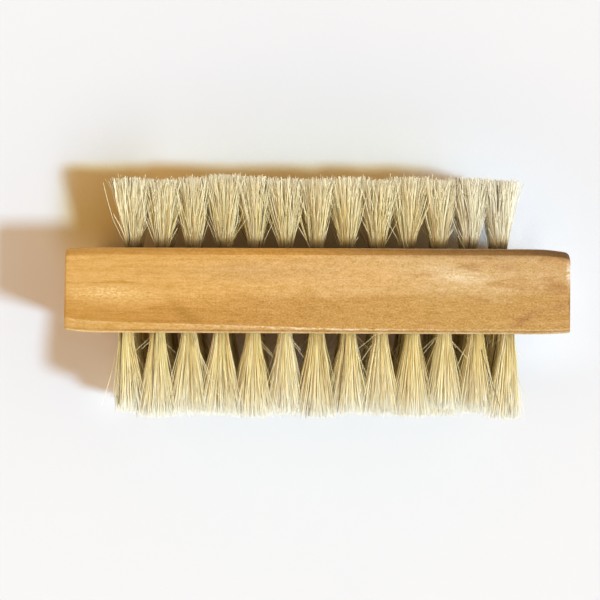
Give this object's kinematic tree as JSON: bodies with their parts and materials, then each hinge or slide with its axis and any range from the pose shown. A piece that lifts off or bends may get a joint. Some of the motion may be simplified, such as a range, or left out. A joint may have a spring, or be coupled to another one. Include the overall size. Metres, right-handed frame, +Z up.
{
  "type": "two-sided vegetable brush",
  "caption": "Hand brush with an oiled wooden block: rows of light natural bristle tufts on a wide side and a narrower band of tufts on the opposite side.",
  "frame": {"origin": "middle of the long side of the block that the brush lies on", "axes": "+X along the block, +Y towards the narrow band of bristles, +Z up, out of the block's other long side"},
  "size_m": [0.095, 0.0456, 0.04],
  "materials": {
    "oiled_wood": "satin oiled",
    "bristle": "natural fibre, matte to satin",
    "anchor_wire": "bright flat wire"
  },
  "bodies": {
    "root": {"anchor_1_01": "anchor_wire", "anchor_1_02": "anchor_wire", "anchor_1_03": "anchor_wire", "anchor_1_04": "anchor_wire", "anchor_1_05": "anchor_wire", "anchor_1_06": "anchor_wire", "anchor_1_07": "anchor_wire", "anchor_1_08": "anchor_wire", "anchor_1_09": "anchor_wire", "anchor_1_10": "anchor_wire", "anchor_1_11": "anchor_wire", "anchor_1_12": "anchor_wire", "anchor_1_13": "anchor_wire", "anchor_2_01": "anchor_wire", "anchor_2_02": "anchor_wire", "anchor_2_03": "anchor_wire", "anchor_2_04": "anchor_wire", "anchor_2_05": "anchor_wire", "anchor_2_06": "anchor_wire", "anchor_2_07": "anchor_wire", "anchor_2_08": "anchor_wire", "anchor_2_09": "anchor_wire", "anchor_2_10": "anchor_wire", "anchor_2_11": "anchor_wire", "anchor_2_12": "anchor_wire", "anchor_2_13": "anchor_wire", "narrow_tuft_1_01": "bristle", "narrow_tuft_1_02": "bristle", "narrow_tuft_1_03": "bristle", "narrow_tuft_1_04": "bristle", "narrow_tuft_1_05": "bristle", "narrow_tuft_1_06": "bristle", "narrow_tuft_1_07": "bristle", "narrow_tuft_1_08": "bristle", "narrow_tuft_1_09": "bristle", "narrow_tuft_1_10": "bristle", "narrow_tuft_1_11": "bristle", "narrow_tuft_1_12": "bristle", "narrow_tuft_1_13": "bristle", "narrow_tuft_2_01": "bristle", "narrow_tuft_2_02": "bristle", "narrow_tuft_2_03": "bristle", "narrow_tuft_2_04": "bristle", "narrow_tuft_2_05": "bristle", "narrow_tuft_2_06": "bristle", "narrow_tuft_2_07": "bristle", "narrow_tuft_2_08": "bristle", "narrow_tuft_2_09": "bristle", "narrow_tuft_2_10": "bristle", "narrow_tuft_2_11": "bristle", "narrow_tuft_2_12": "bristle", "narrow_tuft_2_13": "bristle", "wide_tuft_row_1": "bristle", "wide_tuft_row_2": "bristle", "wide_tuft_row_3": "bristle", "wide_tuft_row_4": "bristle", "wide_tuft_row_5": "bristle", "wood_block": "oiled_wood"}
  },
  "joints": []
}
